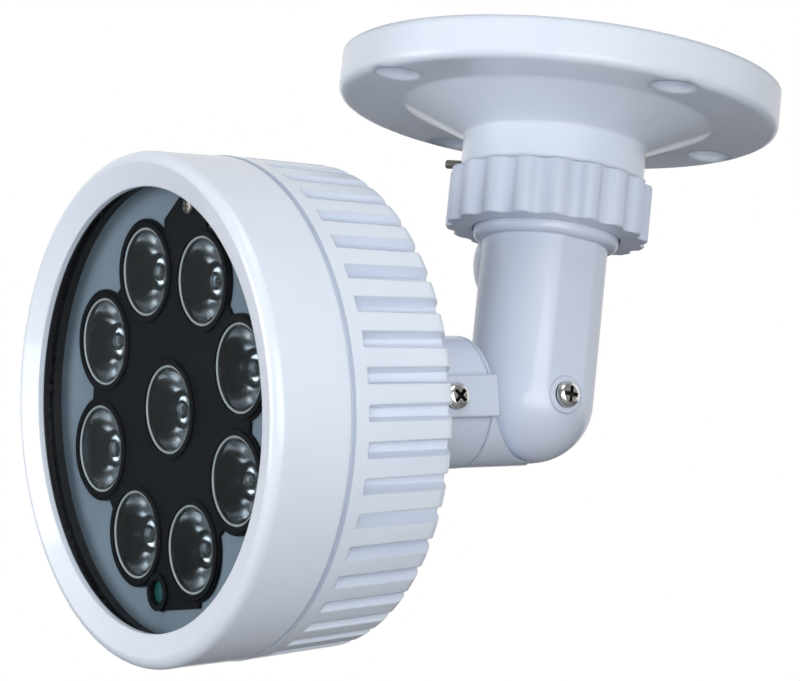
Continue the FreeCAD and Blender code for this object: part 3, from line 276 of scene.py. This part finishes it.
PAINT = white_paint("white_paint", (0.74, 0.80, 0.90), (0.71, 0.775, 0.885), 0.30, 0.0006)
PLATE_PAINT = white_paint("plate_paint", (0.71, 0.77, 0.87), (0.68, 0.745, 0.855), 0.32, 0.0024)
BRACKET_PAINT = white_paint("bracket_paint", (0.61, 0.67, 0.79), (0.58, 0.645, 0.77), 0.32, 0.0008)
SCREW = plated_screw("nickel_screw", (0.72, 0.71, 0.69), (0.22, 0.20, 0.18), 0.22)
# The dark colour of these two screws also paints shade into their recesses and lower edges
HINGE_SCREW = plated_screw("hinge_screw", (0.80, 0.79, 0.77), (0.05, 0.045, 0.04), 0.20,
                           seat=(0.0153, 0.0, -HINGE_DROP))
LOCK_SCREW = plated_screw("lock_screw", (0.80, 0.79, 0.77), (0.05, 0.045, 0.04), 0.20,
                          seat=LAMP_FRONT + RIGHT * 0.0190 + BACK * 0.0760)
PIN = plated_screw("steel_pin", (0.30, 0.26, 0.23), (0.14, 0.11, 0.09), 0.38)
RUBBER = moulded("black_rubber", (0.012, 0.012, 0.014), (0.02, 0.02, 0.022), 0.42)
NYLON = moulded("white_nylon", (0.72, 0.74, 0.76), (0.68, 0.70, 0.73), 0.45)
PLATE = moulded("grey_plate", (0.25, 0.30, 0.36), (0.22, 0.27, 0.33), 0.42,
                grain=2600.0, strength=0.2, shine=0.2)
HOLDER = moulded("black_plastic", (0.005, 0.0052, 0.007), (0.007, 0.0075, 0.010), 0.40,
                 grain=1800.0, strength=0.1, edge=0.0003, shine=0.08)
# In front of rim_depth each lens carries a painted highlight on its rim
LENS = clear_resin("clear_lens", (0.45, 0.49, 0.54), 0.16, rim_depth=0.00834, rim_fade=0.00005)
GLASS = thin_glass("window_glass", (0.93, 0.96, 0.97), 0.08)
CERAMIC = moulded("led_ceramic", (0.62, 0.60, 0.52), (0.55, 0.53, 0.46), 0.4)
BOARD = moulded("circuit_board", (0.02, 0.03, 0.03), (0.03, 0.04, 0.04), 0.35)
RESIN = moulded("sensor_resin", (0.015, 0.12, 0.12), (0.012, 0.09, 0.095), 0.12, coat=1.0)
COMPONENT = moulded("component_black", (0.015, 0.015, 0.017), (0.02, 0.02, 0.02), 0.3)

# The lenses' solids are replaced by make_lenses, so the window's glass does for them
FINISH_OF_SLOT = {
    "white_paint": PAINT, "nickel_screw": SCREW, "steel_pin": PIN, "black_rubber": RUBBER,
    "white_nylon": NYLON, "grey_plate": PLATE, "black_plastic": HOLDER, "window_glass": GLASS,
    "led_ceramic": CERAMIC, "circuit_board": BOARD, "sensor_resin": RESIN,
    "component_black": COMPONENT, "clear_lens": GLASS,
}
BRACKET = ("lock_ring", "arm", "knuckle", "tail_socket")


def give(item, material):
    item.data.materials.clear()
    item.data.materials.append(material)


def dress_nodes():
    """Give every CAD node the finish of its slot in the record, but three finishes of their own."""
    for entry in frame["record"]["subparts"]:
        node = entry["node"]
        finish = BRACKET_PAINT if node in BRACKET else FINISH_OF_SLOT[entry["material_slot"]]
        give(NODES[node], finish)
    give(NODES["base_plate"], PLATE_PAINT)
    give(NODES["hinge_screw"], HINGE_SCREW)
    give(NODES["lock_screw"], LOCK_SCREW)


# Modelling
def clear_selection():
    bpy.ops.object.select_all(action="DESELECT")


def select_only(item):
    clear_selection()
    item.select_set(True)
    bpy.context.view_layer.objects.active = item


def start_edit(item):
    select_only(item)
    bpy.ops.object.mode_set(mode="EDIT")


def draw_profile(points, sides, name):
    """A turned piece, left in edit mode: a circle drawn out through (radius, height) points in
    millimetres."""
    clear_selection()
    radius, height = points[0]
    bpy.ops.mesh.primitive_circle_add(vertices=sides, radius=radius * MM,
                                      location=(0.0, 0.0, height * MM))
    item = bpy.context.object
    item.name = name
    bpy.ops.object.transform_apply(location=True)
    start_edit(item)
    bpy.ops.mesh.select_all(action="SELECT")
    for far, deep in points[1:]:
        bpy.ops.mesh.extrude_region_move(
            TRANSFORM_OT_translate={"value": (0.0, 0.0, (deep - height) * MM)})
        scale = far / radius
        bpy.ops.transform.resize(value=(scale, scale, 1.0), center_override=(0.0, 0.0, deep * MM))
        radius, height = far, deep
    return item


def end_edit(item, join_distance):
    """Merge doubled points, turn the faces outwards and leave edit mode."""
    bpy.ops.mesh.select_all(action="SELECT")
    bpy.ops.mesh.remove_doubles(threshold=join_distance)
    bpy.ops.mesh.normals_make_consistent(inside=False)
    bpy.ops.object.mode_set(mode="OBJECT")
    return item


def close_poles(item):
    """Close a drawn profile's first and last rim with flat faces."""
    bpy.ops.mesh.select_all(action="DESELECT")
    bpy.ops.mesh.select_non_manifold()
    bpy.ops.mesh.edge_face_add()
    return end_edit(item, 1e-7)


def close_loop(item):
    """Join a drawn profile's last rim to its first one."""
    return end_edit(item, 1e-6)


def arc(centre, radius, start, end, steps):
    """Points of an arc in a profile, between two angles in degrees."""
    spots = []
    for k in range(steps + 1):
        angle = math.radians(start + (end - start) * k / steps)
        spots.append((centre[0] + radius * math.cos(angle), centre[1] + radius * math.sin(angle)))
    return spots


def solid_box(low, high):
    """A box between two corners, in millimetres."""
    clear_selection()
    bpy.ops.mesh.primitive_cube_add(size=1.0)
    item = bpy.context.object
    middle = Matrix.Translation([(a + b) * 0.5 * MM for a, b in zip(low, high)])
    size = Matrix.Diagonal([*((b - a) * MM for a, b in zip(low, high)), 1.0])
    item.data.transform(middle @ size)
    return item


def solid_disc(radius, low, high, sides=128):
    """A cylinder along the hinge, between two places across, in millimetres."""
    clear_selection()
    bpy.ops.mesh.primitive_cylinder_add(vertices=sides, radius=radius * MM, depth=(high - low) * MM)
    item = bpy.context.object
    middle = Matrix.Translation(((low + high) * 0.5 * MM, 0.0, -HINGE_DROP))
    item.data.transform(middle @ Matrix.Rotation(math.pi / 2, 4, "Y"))
    return item


def combine(item, tool, operation):
    """Join a tool to the piece or cut it away, and remove the tool."""
    step = item.modifiers.new("combine", "BOOLEAN")
    step.operation = operation
    step.object = tool
    step.solver = "EXACT"
    select_only(item)
    bpy.ops.object.modifier_apply(modifier=step.name)
    bpy.data.objects.remove(tool)


def soften(item, angle=12.0):
    select_only(item)
    bpy.ops.object.shade_smooth_by_angle(angle=math.radians(angle))


def copies(item, places, names):
    """The finished piece at each place, each copy with its own mesh, and the model removed."""
    made = []
    for place, name in zip(places, names):
        twin = bpy.data.objects.new(name, item.data.copy())
        twin.data.transform(place)
        bpy.context.scene.collection.objects.link(twin)
        made.append(twin)
    bpy.data.objects.remove(item)
    return made


# Collimator lenses, in millimetres, a depth measured from the lamp's front backwards
LENS_RADIUS = 10.4
LENS_FRONT = 8.0
LENS_TAIL = 18.6
LENS_TAIL_RADIUS = 4.6
LENS_EDGE = 1.0
LENS_EDGE_STEP = 0.9
LENS_CHAMFER = 0.1
BEAD = 0.30
BEAD_STEPS = 8
CONE_STEPS = 9
CONE_BULGE = 1.35
LENS_FLUTES = 48
FLUTE_DEPTH = 0.996
POCKET_MOUTH = 2.4
POCKET_RADIUS = 2.3
POCKET_CHAMFER = 0.15
POCKET_WALL = 2.0
POCKET_DOME = (22.5, 45.0, 67.5, 85.0)


def lens_profile():
    """The lens's face with its bead and edge, its bulging cone, and the pocket over the emitter."""
    face = [(LENS_RADIUS - 2 * BEAD, LENS_FRONT + BEAD + LENS_CHAMFER)]
    for k in range(BEAD_STEPS + 1):
        angle = math.pi * k / BEAD_STEPS
        face.append((LENS_RADIUS - BEAD - BEAD * math.cos(angle),
                     LENS_FRONT + BEAD * (1.0 - math.sin(angle))))
    face += [(LENS_RADIUS, LENS_FRONT + LENS_EDGE - LENS_CHAMFER),
             (LENS_RADIUS - LENS_CHAMFER, LENS_FRONT + LENS_EDGE)]
    cone = []
    start = LENS_RADIUS - LENS_EDGE_STEP
    for k in range(CONE_STEPS + 1):
        share = k / CONE_STEPS
        cone.append((start + (LENS_TAIL_RADIUS - start) * share ** CONE_BULGE,
                     LENS_FRONT + LENS_EDGE + share * (LENS_TAIL - LENS_FRONT - LENS_EDGE)))
    pocket = [(POCKET_MOUTH, LENS_TAIL), (POCKET_RADIUS, LENS_TAIL - POCKET_CHAMFER),
              (POCKET_RADIUS, LENS_TAIL - POCKET_WALL)]
    for angle in map(math.radians, POCKET_DOME):
        pocket.append((POCKET_RADIUS * math.cos(angle),
                       LENS_TAIL - POCKET_WALL - POCKET_RADIUS * math.sin(angle)))
    return face + cone + pocket


def flute_cone(item):
    """Draw in every second line of the cone."""
    first, last = (LENS_FRONT + LENS_EDGE) * MM, LENS_TAIL * MM
    between = 0.5 * (POCKET_MOUTH + LENS_TAIL_RADIUS) * MM
    for vertex in item.data.vertices:
        line = math.atan2(vertex.co.y, vertex.co.x) / math.tau * 2 * LENS_FLUTES
        reach = math.hypot(vertex.co.x, vertex.co.y)
        if first - 1e-6 < vertex.co.z < last + 1e-6 and reach > between and round(line) % 2:
            vertex.co.x *= FLUTE_DEPTH
            vertex.co.y *= FLUTE_DEPTH


def make_lenses():
    item = close_poles(draw_profile(lens_profile(), 2 * LENS_FLUTES, "collimator"))
    flute_cone(item)
    spots = lens_spots()
    names = ["collimator_%d" % (k + 1) for k in range(len(spots))]
    for k, twin in enumerate(copies(item, spots, names)):
        for face in twin.data.polygons:
            face.use_smooth = len(face.vertices) == 4
        give(twin, LENS)
        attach(twin, "head")
        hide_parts("lens_%d" % (k + 1))


# Arm, in millimetres, a drop measured down from the ceiling
ARM_INSIDE = [
    (12.4, -64.9), (12.4, -41.0),      # the cable's bore
    (15.94, -36.2), (15.94, -18.9),    # its wider part, in the stem that stands in the plate's neck
]
ARM_STEM = [
    (18.54, -18.9), (18.54, -36.2),    # the stem's outside
    (20.9, -36.2), (20.9, -38.4),      # the flange that the lock ring holds
]
ARM_RADIUS = 15.6
ARM_SIDES = 160
BORE_END = 64.9
LIP_RADIUS = 18.1
LIP_TOP = 38.4
LIP_END = 43.5
LIP_ROUND = 1.7
FLAT_REACH = 14.8
LAP_FACE = 4.9
LAP_RADIUS = 15.9
PAD_RADIUS = 4.6
PAD_ROOT = 12.8
PAD_REACH = 15.3
HOOD_RADIUS = 13.8
HOOD_SIDE = 6.4
HOOD_DROP = 48.1
HOOD_TOP = 42.5
HOOD_BORE_TOP = 40.0
HOOD_BORE_RADIUS = 14.0
WINDOW_LOW = (-12.0, -5.0, -68.0)
WINDOW_HIGH = (-5.5, 5.0, -64.0)
CUT_REACH = 30.0
CUT_SPREAD = 20.0


def arm_hood():
    """The bulge on the arm's far side, cut off under the bead, its own bore inside the arm's wall."""
    clear_selection()
    bpy.ops.mesh.primitive_uv_sphere_add(segments=96, ring_count=64, radius=HOOD_RADIUS * MM)
    hood = bpy.context.object
    hood.data.transform(Matrix.Translation((-HOOD_SIDE * MM, 0.0, -HOOD_DROP * MM)))
    combine(hood, solid_box((-40.0, -40.0, -HOOD_TOP), (40.0, 40.0, 0.0)), "DIFFERENCE")
    clear_selection()
    bpy.ops.mesh.primitive_cylinder_add(vertices=ARM_SIDES, radius=HOOD_BORE_RADIUS * MM,
                                        depth=(BORE_END - HOOD_BORE_TOP) * MM,
                                        location=(0.0, 0.0, -(BORE_END + HOOD_BORE_TOP) * 0.5 * MM))
    bore = bpy.context.object
    bpy.ops.object.transform_apply(location=True)
    combine(hood, bore, "DIFFERENCE")
    return hood


def make_arm():
    """The bent arm: bead, round shank with side flats, a bulge on its far side, half of the hinge."""
    drop = HINGE_DROP * 1000.0
    points = ARM_INSIDE + ARM_STEM + [(LIP_RADIUS, -LIP_TOP)]
    points += arc((LIP_RADIUS - LIP_ROUND, LIP_ROUND - LIP_END), LIP_ROUND, 0.0, -90.0, 8)
    points.append((ARM_RADIUS, -LIP_END))
    points += arc((0.0, -drop), ARM_RADIUS, 0.0, -88.0, 32)
    item = close_poles(draw_profile(points, ARM_SIDES, "arm_look"))
    combine(item, solid_disc(ARM_RADIUS, -LAP_FACE, 0.0, ARM_SIDES), "UNION")
    for side in (-1, 1):
        low, high = sorted((side * FLAT_REACH, side * CUT_REACH))
        flat = solid_box((low, -CUT_SPREAD, -drop - CUT_SPREAD), (high, CUT_SPREAD, -LIP_END))
        combine(item, flat, "DIFFERENCE")
    combine(item, arm_hood(), "UNION")
    combine(item, solid_disc(PAD_RADIUS, PAD_ROOT, PAD_REACH), "UNION")
    combine(item, solid_disc(LAP_RADIUS, -CUT_REACH, -LAP_FACE), "DIFFERENCE")
    combine(item, solid_box(WINDOW_LOW, WINDOW_HIGH), "DIFFERENCE")
    start_edit(item)
    end_edit(item, 1e-6)
    soften(item)
    give(item, BRACKET_PAINT)
    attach(item, "arm")
    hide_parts("arm")


# How far the knuckle's top is cut back, in millimetres across, up and towards the lamp from the
# hinge, and the slope in degrees by which the cut falls to the side with the screws
TOP_CUT_LOW = (-5.0, 6.8, 0.0)
TOP_CUT_HIGH = (32.0, 30.0, 21.6)
TOP_CUT_SLOPE = 8.7


def make_knuckle():
    """The knuckle, its top cut back to a narrow land before the collar."""
    item = bpy.data.objects.new("knuckle_look", NODES["knuckle"].data.copy())
    item.data.transform(NODES["knuckle"].matrix_world)
    bpy.context.scene.collection.objects.link(item)
    cutter = solid_box(TOP_CUT_LOW, TOP_CUT_HIGH)
    cutter.data.transform(Matrix.Rotation(-math.radians(TOP_CUT_SLOPE), 4, "Z"))
    place = Matrix((RIGHT, -DOWN, -BACK)).transposed().to_4x4()
    place.translation = (0.0, 0.0, -HINGE_DROP)
    cutter.data.transform(place)
    combine(item, cutter, "DIFFERENCE")
    soften(item)
    give(item, BRACKET_PAINT)
    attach(item, "knuckle")
    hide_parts("knuckle")


# Finned housing, in millimetres, a depth measured from the lamp's front backwards
HOUSING_SIDES = 264
HOUSING_FRONT = [
    (53.7, 10.2), (57.0, 10.2), (57.0, 17.0),      # the thread under the bezel
    (55.65, 17.0), (55.65, 18.6), (57.0, 18.6),    # the seal's groove
    (57.0, 20.76), (57.5, 20.76), (57.5, 21.9),    # the step behind the bezel's rim
    (59.2, 21.9),                                  # the fins' front ends
]
HOUSING_INSIDE = [
    (30.0, 50.5), (7.0, 50.5), (7.0, 44.0),        # the rear wall and the grommet's hole
    (47.6, 44.0), (47.6, 21.1),                    # the driver's room
    (53.7, 21.1), (53.7, 10.2),                    # the ledge under the emitters' board
]
FINS = 44
FIN_TURN = 6.13
FIN_TAIL_RADIUS = 57.3
FIN_ROUND = 3.5
FIN_END = 50.5

# A slot's front and tail: its depth in the lamp, its floor's reach, and its width at floor and mouth
SLOT_FRONT = (25.6, 54.6, 2.2, 4.6)
SLOT_TAIL = (51.5, 53.5, 2.4, 5.8)
SLOT_MOUTH = 61.2


def slot_cutter(turn):
    """A drafted slot: narrow floor, wide mouth, a little deeper and wider at its open rear end."""
    cutter = solid_box((-1.0, -1.0, -1.0), (1.0, 1.0, 1.0))
    for vertex in cutter.data.vertices:
        deep, floor, floor_width, mouth_width = SLOT_TAIL if vertex.co.z > 0 else SLOT_FRONT
        reach, width = (SLOT_MOUTH, mouth_width) if vertex.co.x > 0 else (floor, floor_width)
        side = 0.5 if vertex.co.y > 0 else -0.5
        vertex.co = (reach * MM, side * width * MM, deep * MM)
    cutter.data.transform(Matrix.Rotation(math.radians(turn), 4, "Z"))
    return cutter


def make_housing():
    """The finned back: a turned body and one drafted slot, repeated round it."""
    shoulder = arc((FIN_TAIL_RADIUS - FIN_ROUND, FIN_END - FIN_ROUND), FIN_ROUND, 0.0, 90.0, 10)
    points = HOUSING_FRONT + shoulder + HOUSING_INSIDE
    item = close_loop(draw_profile(points, HOUSING_SIDES, "housing_look"))
    cutters = [slot_cutter(FIN_TURN + 360.0 * k / FINS) for k in range(FINS)]
    clear_selection()
    for cutter in cutters:
        cutter.select_set(True)
    bpy.context.view_layer.objects.active = cutters[0]
    bpy.ops.object.join()
    combine(item, cutters[0], "DIFFERENCE")
    item.data.transform(lamp_matrix())
    soften(item)
    give(item, PAINT)
    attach(item, "head")
    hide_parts("rear_housing")


# The screw at the holder's ear: its head's profile and recess in millimetres, its place in metres
EAR_SCREW = [(2.0, 8.2), (2.0, 7.75), (1.7, 7.4), (1.1, 7.2)]
EAR_RECESS = (0.3, 1.3)
EAR_RECESS_DEPTHS = (7.0, 7.8)
EAR_SPOT = (0.0059, -0.0478)


def make_ear_screw():
    """The small cross-recessed screw at the tip of the lens holder's ear."""
    item = close_poles(draw_profile(EAR_SCREW, 48, "ear_screw"))
    top, floor = EAR_RECESS_DEPTHS
    for across, along in (EAR_RECESS, EAR_RECESS[::-1]):
        combine(item, solid_box((-across, -along, top), (across, along, floor)), "DIFFERENCE")
    item.data.transform(lamp_matrix(*EAR_SPOT, FACE_TURN))
    soften(item, 30.0)
    give(item, PIN)
    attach(item, "head")


# Lights: name, place and size in metres, power in watts
LIGHTS = (
    ("low", (0.82, -0.32, -0.30), 0.9, 9.0),
    ("top", (0.45, -0.50, 0.75), 0.6, 2.9),
    ("front", (-0.35, -0.95, -0.15), 0.5, 4.4),
)
LIGHT_TARGET = Vector((0.0, -0.05, -0.08))

# The world's light, and how bright the room in front of the white backdrop looks in gloss and glass
WORLD_LEVEL = 0.25
ROOM_LEVEL = 0.22
BACKDROP_WAY = (-0.55, 0.83)
BACKDROP_FADE = (0.0, 0.5)

# The floor, in metres; the camera sees most of it as plain white
FLOOR_RADIUS = 4.0
FLOOR_DROP = 0.42
FLOOR_WHITE = 0.95
FLOOR_WHITE_SHARE = 0.9


def make_lights():
    for name, place, size, power in LIGHTS:
        lamp = bpy.data.lights.new(name, "AREA")
        lamp.shape = "DISK"
        lamp.size = size
        lamp.energy = power
        item = bpy.data.objects.new(name, lamp)
        bpy.context.scene.collection.objects.link(item)
        item.location = place
        aim = LIGHT_TARGET - Vector(place)
        item.rotation_euler = aim.to_track_quat("-Z", "Y").to_euler()


def make_world():
    """A pale room: white to the camera, dimmer to the object, with a white backdrop in its gloss."""
    world = bpy.data.worlds.new("studio")
    bpy.context.scene.world = world
    world.use_nodes = True
    f = Finish(tree=world.node_tree)
    across, along, _ = f.axes(f.node("ShaderNodeTexCoord", output="Generated"))
    towards = BACKDROP_WAY[0] * across + BACKDROP_WAY[1] * along
    backdrop = f.span(towards, *BACKDROP_FADE, ROOM_LEVEL, 1.0)
    mirrored = f.ray("Is Transmission Ray").or_larger(f.ray("Is Glossy Ray"))
    strength = (WORLD_LEVEL + mirrored * (backdrop - WORLD_LEVEL)
                + (1.0 - WORLD_LEVEL) * f.ray("Is Camera Ray"))
    sky = f.node("ShaderNodeBackground", None,
                 {"Color": (1.0, 1.0, 1.0, 1.0), "Strength": strength})
    f.done(sky, "ShaderNodeOutputWorld")


def make_floor():
    bpy.ops.mesh.primitive_circle_add(vertices=96, radius=FLOOR_RADIUS, fill_type="NGON",
                                      location=(0.0, 0.0, -FLOOR_DROP))
    floor = bpy.context.object
    floor.name = "floor"
    f = Finish("floor_white")
    matt = f.node("ShaderNodeBsdfDiffuse", None, {"Color": (0.40, 0.40, 0.41, 1.0)})
    glow = f.node("ShaderNodeEmission", None,
                  {"Color": (1.0, 1.0, 1.0, 1.0), "Strength": FLOOR_WHITE})
    share = FLOOR_WHITE_SHARE * f.ray("Is Camera Ray")
    give(floor, f.done(f.node("ShaderNodeMixShader", None, {0: share, 1: matt, 2: glow})))


def place_camera():
    data = bpy.data.cameras.new("camera")
    data.lens = CAMERA_LENS_MM
    data.sensor_width = CAMERA_SENSOR_MM
    data.clip_start, data.clip_end = 0.01, 50.0
    camera = bpy.data.objects.new("camera", data)
    bpy.context.scene.collection.objects.link(camera)
    az, el, roll = (math.radians(a) for a in (CAMERA_AZIMUTH, CAMERA_ELEVATION, CAMERA_ROLL))
    back = Vector((math.sin(az) * math.cos(el), -math.cos(az) * math.cos(el), math.sin(el)))
    right = Vector((math.cos(az), math.sin(az), 0.0))
    up = back.cross(right)
    axes = Matrix((right * math.cos(roll) + up * math.sin(roll),
                   up * math.cos(roll) - right * math.sin(roll), back)).transposed().to_4x4()
    axes.translation = CAMERA_PLACE
    camera.matrix_world = axes
    bpy.context.scene.camera = camera


dress_nodes()
make_lenses()
make_arm()
make_knuckle()
make_housing()
make_ear_screw()
make_world()
make_lights()
make_floor()
place_camera()
bpy.context.scene.view_settings.view_transform = "Standard"
